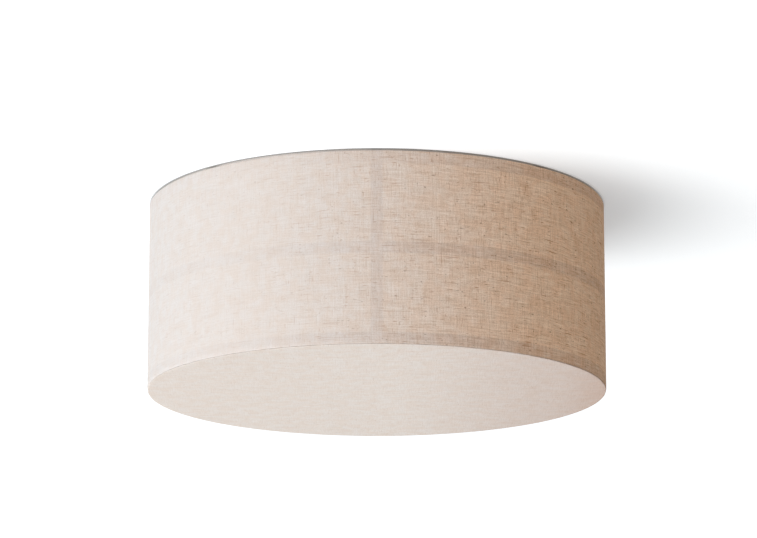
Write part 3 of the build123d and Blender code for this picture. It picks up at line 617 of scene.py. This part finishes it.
def addPiece(name, verts, faces, body, materials, sharp=40.0, faceMaterials=None):
    mesh = bpy.data.meshes.new(name)
    mesh.from_pydata([tuple(v) for v in verts], [], faces)
    for material in materials:
        mesh.materials.append(material)
    if faceMaterials is not None:
        mesh.polygons.foreach_set("material_index", faceMaterials)
    mesh.shade_smooth()
    mesh.set_sharp_from_angle(angle=math.radians(sharp))
    piece = bpy.data.objects.new(name, mesh)
    scene.collection.objects.link(piece)
    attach(piece, body)
    return piece


# A closed sheet about a grid of points that runs all the way round. Cells where kept is False are left out.
def thickSheet(middle, normals, thickness, kept):
    around, along = kept.shape
    columns = middle.shape[1]
    count = around * columns
    outside, inside = middle + normals * thickness / 2, middle - normals * thickness / 2
    verts = np.concatenate([outside.reshape(-1, 3), inside.reshape(-1, 3)])
    faces = []

    def at(i, j, side=0):
        return (i % around) * columns + j + side * count

    for i in range(around):
        for j in range(along):
            if not kept[i, j]:
                continue
            faces.append((at(i, j), at(i + 1, j), at(i + 1, j + 1), at(i, j + 1)))
            faces.append((at(i, j + 1, 1), at(i + 1, j + 1, 1), at(i + 1, j, 1), at(i, j, 1)))
            if j == 0 or not kept[i, j - 1]:
                faces.append((at(i + 1, j), at(i, j), at(i, j, 1), at(i + 1, j, 1)))
            if j == along - 1 or not kept[i, j + 1]:
                faces.append((at(i, j + 1), at(i + 1, j + 1), at(i + 1, j + 1, 1), at(i, j + 1, 1)))
            if not kept[i - 1, j]:
                faces.append((at(i, j), at(i, j + 1), at(i, j + 1, 1), at(i, j, 1)))
            if not kept[(i + 1) % around, j]:
                faces.append((at(i + 1, j + 1), at(i + 1, j), at(i + 1, j, 1), at(i + 1, j + 1, 1)))
    used = np.unique(np.array([v for face in faces for v in face]))
    renumber = np.zeros(len(verts), int)
    renumber[used] = np.arange(len(used))
    return verts[used], [tuple(int(renumber[v]) for v in face) for face in faces]


# Points of part of a circle in the section, angles in degrees
def arcPoints(centre, radius, start, end, steps):
    turns = [math.radians(start + (end - start) * step / steps) for step in range(steps + 1)]
    return [(centre[0] + radius * math.cos(turn), centre[1] + radius * math.sin(turn)) for turn in turns]


# The section's points and normals at every angle. nudge(angle, r, z) moves a point along its normal.
def sweepRound(profile, angles, nudge):
    points = np.array(profile)
    run = np.gradient(points, axis=0)
    run /= np.linalg.norm(run, axis=1)[:, None]
    outR, outZ = run[:, 1], -run[:, 0]
    cosines, sines = np.cos(angles)[:, None], np.sin(angles)[:, None]
    r, z = points[:, 0][None, :], points[:, 1][None, :]
    move = nudge(angles[:, None], r, z)
    r, z = r + outR * move, z + outZ * move
    middle = np.stack([r * cosines, r * sines, z + 0 * cosines], axis=2)
    normals = np.stack([outR * cosines, outR * sines, outZ + 0 * cosines], axis=2)
    return middle, normals


# Random waves round the drum, in sum no higher than 1
def roundWaves(rng, count, lowest, highest, drift):
    waves = []
    for _ in range(count):
        waves.append((rng.randint(lowest, highest), rng.uniform(0, 2 * math.pi), rng.uniform(0.3, 1.0)))
    total = sum(weight for _, _, weight in waves)

    def height(angle, along):
        return sum(weight * np.sin(n * angle + start + drift * along) for n, start, weight in waves) / total

    return height


wallValues = {
    "steps": 720,
    "rows": 48,
    "groove": 1.4 * mm,  # from the underside to the seam with the bottom cloth
    "tuck": 0.45 * mm,  # how far the wall's lower edge turns in
    "tuckHeight": 1.4 * mm,
    "rollRadius": 0.6 * mm,
    "innerRoll": 0.6 * mm,
    "hemRows": 4,
    "ripple": 0.30 * mm,
    "edgeWander": 0.5 * mm,
    "overlapStep": 0.5 * mm,
    "overlapWidth": 14 * mm,
    "overlapColumns": (0.0003, 0.0012, 0.004, 0.008),  # finer steps beside the seam, in metres
    "notchHalf": 10 * mm,  # the hem is snipped at each upright
    "hemInset": 2.7 * mm,  # from the ring's outside to the middle of the turned-down hem
    "seed": 7,
}


def makeWall(values):
    half = clothThickness / 2
    radius = drumRadius - half
    seamZ = drumBottom + values["groove"]
    roll, innerRoll = values["rollRadius"], values["innerRoll"]
    topZ = drumTop - half
    wallTop = topZ - roll
    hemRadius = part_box("frame_top_ring")[1].x - values["hemInset"]
    startZ = seamZ + values["tuckHeight"]
    profile = [
        (radius - values["tuck"], seamZ),
        (radius - values["tuck"] * 0.4, seamZ + 0.5 * mm),
        (radius, startZ),
    ]
    for step in range(1, values["rows"] + 1):
        profile.append((radius, startZ + (wallTop - startZ) * step / values["rows"]))
    profile += arcPoints((radius - roll, wallTop), roll, 0, 90, 6)[1:]
    profile += arcPoints((hemRadius + innerRoll, topZ - innerRoll), innerRoll, 90, 180, 5)
    legTop = len(profile) - 1
    for step in range(1, values["hemRows"] + 1):
        fall = (hemLow.z - topZ + innerRoll) * step / values["hemRows"]
        profile.append((hemRadius, topZ - innerRoll + fall))

    rng = random.Random(values["seed"])
    ripples = roundWaves(rng, 14, 9, 44, 3.0)
    bars = [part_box(f"frame_{name}_ring") for name in ("bottom", "middle", "top")]
    spans = [(bars[0][1].z, bars[1][0].z), (bars[1][1].z, bars[2][0].z)]

    def nudge(angle, r, z):
        belly = 0 * z
        for low, high in spans:
            belly = belly + np.sin(math.pi * np.clip((z - low) / (high - low), 0, 1)) * (r > radius - 1e-6)
        fromSeam = np.mod(angle - math.pi / 2, 2 * math.pi) * drumRadius
        overlap = np.clip(1 - fromSeam / values["overlapWidth"], 0, 1) * (fromSeam > 1e-6)
        rippled = values["ripple"] * ripples(angle, z) * belly
        return rippled + values["overlapStep"] * overlap * (r > radius - roll * 0.5)

    base = math.pi / 2
    turns = np.arange(values["steps"]) * 2 * math.pi / values["steps"]
    near = np.array(values["overlapColumns"]) / drumRadius
    angles = base + np.unique(np.round(np.concatenate([turns, near]), 9))
    middle, normals = sweepRound(profile, angles, nudge)
    # both cut edges wander, the hem's the most
    wander = roundWaves(rng, 18, 20, 160, 0.0)(angles, 0.0) * values["edgeWander"]
    middle[:, 0, 2] += wander
    middle[:, 1, 2] += wander * 0.6
    middle[:, -1, 2] += wander * 1.5
    kept = np.ones((len(angles), len(profile) - 1), bool)
    mids = angles + np.diff(np.append(angles, base + 2 * math.pi)) / 2
    acrossUpright = np.minimum(abs(np.cos(mids)), abs(np.sin(mids))) * hemRadius
    kept[acrossUpright < values["notchHalf"], legTop - 2:] = False
    verts, faces = thickSheet(middle, normals, clothThickness, kept)
    piece = addPiece("linenWall", verts, faces, "shade", [wallLinen], sharp=50)
    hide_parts("fabric_wall", "top_hem")


makeWall(wallValues)
print("wall made")

bottomValues = {
    "steps": 360,
    "rings": 46,
    "edgeRadius": 1.2 * mm,
    "lipUnderSeam": 0.5 * mm,
    "ripple": 0.3 * mm,
    "hub": 4 * mm,
    "seed": 21,
}


def makeBottom(values):
    half = clothThickness / 2
    flatZ = drumBottom + half
    edge, hub, rings = values["edgeRadius"], values["hub"], values["rings"]
    radius = drumRadius - half
    lip = drumBottom + wallValues["groove"] - values["lipUnderSeam"]
    profile = [(hub + (radius - edge - hub) * step / rings, flatZ) for step in range(rings + 1)]
    profile += arcPoints((radius - edge, flatZ + edge), edge, -90, 0, 6)[1:]
    profile = [(r, z) for r, z in profile if z <= lip]
    ripples = roundWaves(random.Random(values["seed"]), 8, 2, 11, 9.0)

    def nudge(angle, r, z):
        share = np.clip(r / (radius - 4 * mm), 0, 1)
        return -values["ripple"] * ripples(angle, r) * np.sin(math.pi * share) ** 2 * share

    angles = np.arange(values["steps"]) * 2 * math.pi / values["steps"]
    middle, normals = sweepRound(profile, angles, nudge)
    kept = np.ones((len(angles), len(profile) - 1), bool)
    verts, faces = thickSheet(middle, normals, clothThickness, kept)
    # a fan on each side closes the middle, in place of the inner rim
    atHub = np.hypot(verts[:, 0], verts[:, 1]) < hub + 1e-5
    faces = [face for face in faces if not all(atHub[v] for v in face)]
    for centreZ, above in ((flatZ - half, False), (flatZ + half, True)):
        ring = [v for v in np.nonzero(atHub)[0] if (verts[v][2] > flatZ) == above]
        ring.sort(key=lambda v: math.atan2(verts[v][1], verts[v][0]))
        centre = len(verts)
        verts = np.concatenate([verts, [[0, 0, centreZ]]])
        for a, b in zip(ring, ring[1:] + ring[:1]):
            faces.append((centre, int(a), int(b)) if above else (centre, int(b), int(a)))
    piece = addPiece("linenBottom", verts, faces, "shade", [flatLinen], sharp=50)
    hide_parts("fabric_bottom")


makeBottom(bottomValues)
print("bottom cloth made")


# A turned piece: rows of (radius, distance along the axis), closed at both ends.
# thread(along, turn) gives how deep a thread is cut at that place.
def turned(rows, around, origin, axis, side, thread=None):
    axis, side = Vector(axis).normalized(), Vector(side).normalized()
    other = axis.cross(side)
    verts, faces = [], []
    for radius, along in rows:
        for step in range(around):
            turn = 2 * math.pi * step / around
            cut = thread(along, turn) if thread else 0.0
            spoke = side * math.cos(turn) + other * math.sin(turn)
            verts.append(Vector(origin) + axis * along + spoke * (radius - cut))
    for row in range(len(rows) - 1):
        for step in range(around):
            here = row * around + step
            ahead = row * around + (step + 1) % around
            faces.append((here, ahead, ahead + around, here + around))
    faces.append(tuple(range(around))[::-1])
    faces.append(tuple((len(rows) - 1) * around + step for step in range(around)))
    return verts, faces


studValues = {
    "around": 24,
    "threadRadius": 2.5 * mm,
    "threadDepth": 0.38 * mm,
    "pitch": 0.8 * mm,
    "rowsPerPitch": 8,
    "plainLength": 0.8 * mm,  # between the shoulder and the thread
    "shoulderRadius": 5.0 * mm,
    "lugGap": 0.2 * mm,
    "headRadius": 4.5 * mm,
    "headHeight": 0.8 * mm,
    "bevel": 0.25 * mm,
    "chamfer": 0.5 * mm,
}


def makeStuds(values):
    studLow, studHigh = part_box("hanging_studs")
    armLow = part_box("support_arm_1")[0]
    lugTop = max(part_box(f"hanging_lug_{number}")[1].z for number in (1, 2, 3, 4))
    wide, radius, head = values["shoulderRadius"], values["threadRadius"], values["headRadius"]
    bevel, chamfer, pitch = values["bevel"], values["chamfer"], values["pitch"]
    circle = math.hypot(studHigh.x - wide, studHigh.y - wide)
    top = studHigh.z
    near, far, end = top - armLow.z, top - (lugTop + values["lugGap"]), top - studLow.z
    rows = [(head - bevel, 0), (head, bevel), (head, values["headHeight"]), (radius, values["headHeight"])]
    rows += [(radius, near), (wide - bevel, near), (wide, near + bevel)]
    rows += [(wide, far - bevel), (wide - bevel, far), (radius, far)]
    threadStart, threadEnd = far + values["plainLength"], end - chamfer
    count = int((threadEnd - threadStart) / pitch * values["rowsPerPitch"])
    rows += [(radius, threadStart + (threadEnd - threadStart) * step / count) for step in range(count + 1)]
    rows.append((radius - chamfer, end))

    def thread(along, turn):
        if along < threadStart or along > threadEnd:
            return 0.0
        phase = ((along - threadStart) / pitch - turn / (2 * math.pi)) % 1.0
        return values["threadDepth"] * (1 - abs(2 * phase - 1)) * min(1.0, (along - threadStart) / pitch)

    verts, faces = [], []
    for number in range(4):
        angle = math.radians(45 + 90 * number)
        origin = (circle * math.cos(angle), circle * math.sin(angle), top)
        more, moreFaces = turned(rows, values["around"], origin, (0, 0, -1), (1, 0, 0), thread)
        faces += [tuple(v + len(verts) for v in face) for face in moreFaces]
        verts += more
    piece = addPiece("threadedStuds", verts, faces, "base", [finishes["zinc_steel"]], sharp=35)
    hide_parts("hanging_studs")


makeStuds(studValues)
print("studs made")

capValues = {
    "angles": (30, 150, 270),  # where each lamp points, in degrees
    "around": 48,
    "tipRadius": 4.0 * mm,
    "tipHeight": 1.0 * mm,
    "glassRadius": 9.4 * mm,
    "coneHeight": 3.0 * mm,
    "threadRadius": 13.2 * mm,
    "threadDepth": 1.0 * mm,
    "pitch": 3.62 * mm,
    "turns": 5,
    "rowsPerTurn": 12,
}


def makeLampCap(number, angleDegrees, values):
    low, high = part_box("lamp_cap_3")  # the lamp that lies straight along -y: all three are alike
    start, end = -high.y, -low.y
    axisZ = (low.z + high.z) / 2
    angle = math.radians(angleDegrees)
    outwards = Vector((math.cos(angle), math.sin(angle), 0))
    rim, valley = values["threadRadius"], values["threadRadius"] - values["threadDepth"]
    tip, tipHeight, glass = values["tipRadius"], values["tipHeight"], values["glassRadius"]
    threadStart = tipHeight + values["coneHeight"]
    threadEnd = threadStart + values["turns"] * values["pitch"]
    length = end - start
    rows = [(tip * 0.55, 0), (tip * 0.9, 0.2 * mm), (tip, 0.6 * mm), (tip, tipHeight)]
    rows += [(glass * 0.62, tipHeight + 0.1 * mm), (glass, threadStart - 0.9 * mm)]
    rows += [(glass + 0.6 * mm, threadStart - 0.7 * mm), (valley - 0.5 * mm, threadStart - 0.2 * mm)]
    count = values["turns"] * values["rowsPerTurn"]
    rows += [(rim, threadStart + (threadEnd - threadStart) * step / count) for step in range(count + 1)]
    rows += [(rim, threadEnd + 0.9 * mm), (rim, length - 0.4 * mm), (rim - 0.3 * mm, length)]

    def thread(along, turn):
        if along < threadStart or along > threadEnd:
            return 0.0
        phase = (along - threadStart) / values["pitch"] - turn / (2 * math.pi)
        ends = min(1.0, (threadEnd - along) / values["pitch"] * 1.5)
        return values["threadDepth"] * ((0.5 + 0.5 * math.cos(2 * math.pi * phase)) * ends)

    origin = outwards * start + Vector((0, 0, axisZ))
    around = values["around"]
    verts, faces = turned(rows, around, origin, outwards, (0, 0, 1), thread)
    glassRows = range(3, 6)
    glassFaces = [int(row in glassRows) for row in range(len(rows) - 1) for _ in range(around)] + [0, 0]
    both = [finishes["nickel"], capGlass]
    name, body = f"lampCap{number}", f"lamp_{number}"
    piece = addPiece(name, verts, faces, body, both, faceMaterials=glassFaces)
    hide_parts(f"lamp_cap_{number}")


for lampNumber, lampAngle in enumerate(capValues["angles"], 1):
    makeLampCap(lampNumber, lampAngle, capValues)
print("lamp caps made")

weldValues = {
    "around": 10,
    "radius": 1.25 * mm,
    "margin": 1.5 * mm,  # from a bead's ends to the bar's edges
    "lugMargins": (0.8 * mm, 0.6 * mm),  # at a lug's lower and upper edge
    "rippleLength": 1.1 * mm,
    "ripple": 0.10,  # shares of the radius
    "unevenness": 0.03,
    "uprightBeadAt": 8.1 * mm,  # from an upright's middle line
    "lugBeadAt": 10.6 * mm,
    "beadRadiusAt": 296.2 * mm,
    "seed": 5,
}


# Beads where the uprights and the hanging lugs are welded to the rings
def makeWelds(values):
    rng = random.Random(values["seed"])
    verts, faces = [], []
    spots = []
    margin = values["margin"]
    for name in ("frame_top_ring", "frame_middle_ring", "frame_bottom_ring"):
        low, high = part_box(name)
        for quarter in range(4):
            for side in (-1, 1):
                offset = side * values["uprightBeadAt"]
                spots.append((90.0 * quarter, offset, low.z + margin, high.z - margin))
    lugFoot, lugHead = values["lugMargins"]
    for number in (1, 2, 3, 4):
        low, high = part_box(f"hanging_lug_{number}")
        for side in (-1, 1):
            spots.append((45.0 + 90 * number, side * values["lugBeadAt"], low.z + lugFoot, high.z - lugHead))
    for angleDegrees, offset, lowZ, highZ in spots:
        angle = math.radians(angleDegrees)
        outwards = Vector((math.cos(angle), math.sin(angle), 0))
        sideways = Vector((-math.sin(angle), math.cos(angle), 0))
        depth = math.sqrt(values["beadRadiusAt"] ** 2 - offset**2)
        foot = outwards * depth + sideways * offset
        count = max(8, int((highZ - lowZ) / values["rippleLength"] * 4))
        phase = rng.uniform(0, 6)
        rows = []
        for step in range(count + 1):
            share = step / count
            along = (highZ - lowZ) * share
            swell = 1 + values["ripple"] * abs(math.sin(math.pi * along / values["rippleLength"] + phase))
            swell += rng.uniform(-values["unevenness"], values["unevenness"])
            closing = math.sqrt(max(0.05, 1 - (2 * share - 1) ** 8))
            rows.append((values["radius"] * swell * closing, along))
        more, moreFaces = turned(rows, values["around"], foot + Vector((0, 0, lowZ)), (0, 0, 1), outwards)
        faces += [tuple(v + len(verts) for v in face) for face in moreFaces]
        verts += more
    addPiece("weldBeads", verts, faces, "shade", [finishes["frame_steel"]], sharp=60)


makeWelds(weldValues)
print("welds made")

ceilingValues = {
    "half": 7.0,
    "above": 0.2 * mm,
    "paint": (1.01, 1.01, 1.01, 1),
    "glow": (0.287, 0.327, 0.356, 1),
    "farGlow": 0.9,  # more of the glow a long way off, where the light gets weaker
    "farFrom": 0.8,
    "farTo": 3.5,
    "samples": 12,
    "cornerDepth": 4 * mm,  # how near something must be for painted shade on the paint behind it
    "cornerPower": 1.25,
    # painted light and shade over the shade's edge, while it hangs close under the ceiling
    "gapDepth": 14 * mm,
    "gapPower": 0.9,
    "gapEdge": (4 * mm, 1 * mm),  # where the gap ends, inwards from the drum's outside
    "gapOpen": 0.97,  # shares of open sky above which the gap is open, and below which it is closed
    "gapClosed": 0.85,
    "gapPaintedLightLeft": (0.66, 0.625, 0.59, 1),  # painted light on the window's side, painted shade on the far side
    "gapPaintedShadeRight": (0.05, 0.045, 0.04, 1),
    "gapLeft": -0.22,
    "gapRight": 0.10,
}


# Light that the camera, glossy and clear surfaces see, but not matt ones
def seenRays(tree):
    paths = tree.nodes.new("ShaderNodeLightPath").outputs
    mirrored = calc(tree, "MAXIMUM", paths["Is Glossy Ray"], paths["Is Transmission Ray"])
    return calc(tree, "MAXIMUM", paths["Is Camera Ray"], mirrored)


# How open the paint lies, from 0 in a corner to 1, used to paint shade into the ceiling
def openness(tree, depth, samples):
    made = tree.nodes.new("ShaderNodeAmbientOcclusion")
    made.samples = samples
    made.inputs["Distance"].default_value = depth
    return made.outputs["AO"]


def makeCeiling(values):
    material, tree, shader, place = startMaterial("ceilingPaint", 0.9)
    tree.nodes.remove(shader)
    # painted shade: the paint and its glow darken in corners and in the gap over the lampshade's edge
    corner = openness(tree, values["cornerDepth"], values["samples"])
    deep = openness(tree, values["gapDepth"], values["samples"])
    length = tree.nodes.new("ShaderNodeVectorMath")
    length.operation = "LENGTH"
    setSocket(length.inputs[0], place)
    fromMiddle = length.outputs["Value"]
    far = ramp(tree, fromMiddle, values["farFrom"], values["farTo"], 0.0, values["farGlow"])
    inner, outer = values["gapEdge"]
    overShade = ramp(tree, fromMiddle, drumRadius - inner, drumRadius - outer, 1.0, 0.0)
    gap = calc(tree, "POWER", deep, calc(tree, "MULTIPLY", overShade, values["gapPower"]))
    unshaded = calc(tree, "MULTIPLY", calc(tree, "POWER", corner, values["cornerPower"]), gap)
    diffuse = tree.nodes.new("ShaderNodeBsdfDiffuse")
    setSocket(diffuse.inputs["Color"], mixColour(tree, unshaded, (0, 0, 0, 1), values["paint"]))
    # painted light in the gap over the shade's edge: lighter on the window's side, darker on the far side
    toRight = ramp(tree, splitVector(tree, place)[0], values["gapLeft"], values["gapRight"])
    gapPaintedLight = mixColour(tree, toRight, values["gapPaintedLightLeft"], values["gapPaintedShadeRight"])
    closed = calc(tree, "MULTIPLY", overShade, ramp(tree, deep, values["gapOpen"], values["gapClosed"]))
    glow = tree.nodes.new("ShaderNodeEmission")
    setSocket(glow.inputs["Color"], mixColour(tree, closed, values["glow"], gapPaintedLight))
    strength = calc(tree, "MULTIPLY", seenRays(tree), calc(tree, "ADD", unshaded, far))
    setSocket(glow.inputs["Strength"], strength)
    both = tree.nodes.new("ShaderNodeAddShader")
    setSocket(both.inputs[0], diffuse.outputs[0])
    setSocket(both.inputs[1], glow.outputs[0])
    clear = tree.nodes.new("ShaderNodeBsdfTransparent")
    sides = tree.nodes.new("ShaderNodeMixShader")
    setSocket(sides.inputs[0], tree.nodes.new("ShaderNodeNewGeometry").outputs["Backfacing"])
    setSocket(sides.inputs[1], both.outputs[0])
    setSocket(sides.inputs[2], clear.outputs[0])
    setSocket(tree.nodes["Material Output"].inputs["Surface"], sides.outputs[0])
    half, z = values["half"], values["above"]
    corners = [(-half, -half, z), (-half, half, z), (half, half, z), (half, -half, z)]
    mesh = bpy.data.meshes.new("ceiling")
    mesh.from_pydata(corners, [], [(0, 1, 2, 3)])
    mesh.materials.append(material)
    ceiling = bpy.data.objects.new("ceiling", mesh)
    scene.collection.objects.link(ceiling)
    ceiling.visible_shadow = False
    ceiling.visible_diffuse = False


makeCeiling(ceilingValues)

windowLightValues = {
    "at": (-3.071, -0.857, -5.203),
    "wide": 5.15,
    "tall": 6.55,
    "power": 385.0,
    "colour": (1.0, 0.995, 0.985),
}


def addLight(name, values):
    data = bpy.data.lights.new(name, "AREA")
    data.shape = "RECTANGLE"
    data.size = values["wide"]
    data.size_y = values["tall"]
    data.energy = values["power"]
    data.color = values["colour"]
    light = bpy.data.objects.new(name, data)
    light.location = values["at"]
    light.rotation_mode = "QUATERNION"
    light.rotation_quaternion = (Vector(cameraValues["aim"]) - light.location).to_track_quat("-Z", "Y")
    light.visible_camera = False
    scene.collection.objects.link(light)


addLight("windowLight", windowLightValues)

worldValues = {
    "left": (0.55, 0.80, 1.00, 1),  # a band of light round the horizon, from the left to the right
    "middle": (2.55, 2.20, 1.90, 1),
    "right": (0.05, 0.03, 0.02, 1),
    "narrowBelow": 4.0,  # how fast the band fades below and above the horizon
    "narrowAbove": 2.0,
    "above": (0.40, 0.40, 0.40, 1),
    "below": (0.12, 0.12, 0.12, 1),
    "fillFrom": 0.2,
}


def makeWorld(values):
    world = bpy.data.worlds.new("room")
    world.use_nodes = True
    tree = world.node_tree
    x, y, z = splitVector(tree, tree.nodes.new("ShaderNodeTexCoord").outputs["Generated"])
    toMiddle = calc(tree, "MINIMUM", calc(tree, "ADD", x, 1.0), 1.0)
    toRight = calc(tree, "MAXIMUM", x, 0.0)
    band = mixColour(tree, toMiddle, values["left"], values["middle"])
    band = mixColour(tree, toRight, band, values["right"])
    upper = calc(tree, "GREATER_THAN", z, 0.0)
    below, above = values["narrowBelow"], values["narrowAbove"]
    narrowness = calc(tree, "SUBTRACT", below, calc(tree, "MULTIPLY", upper, below - above))
    steepness = calc(tree, "ABSOLUTE", z)
    height = calc(tree, "POWER", calc(tree, "SUBTRACT", 1.0, steepness), narrowness)
    band = mixColour(tree, 1.0, band, height, "MULTIPLY")
    fill = mixColour(tree, upper, values["below"], values["above"])
    fill = mixColour(tree, 1.0, fill, ramp(tree, steepness, 0.0, values["fillFrom"]), "MULTIPLY")
    room = mixColour(tree, 1.0, band, fill, "ADD")
    background = tree.nodes["Background"]
    setSocket(background.inputs["Color"], mixColour(tree, seenRays(tree), room, (1, 1, 1, 1)))
    background.inputs["Strength"].default_value = 1.0
    scene.world = world


makeWorld(worldValues)
print("ceiling, light and world ready")
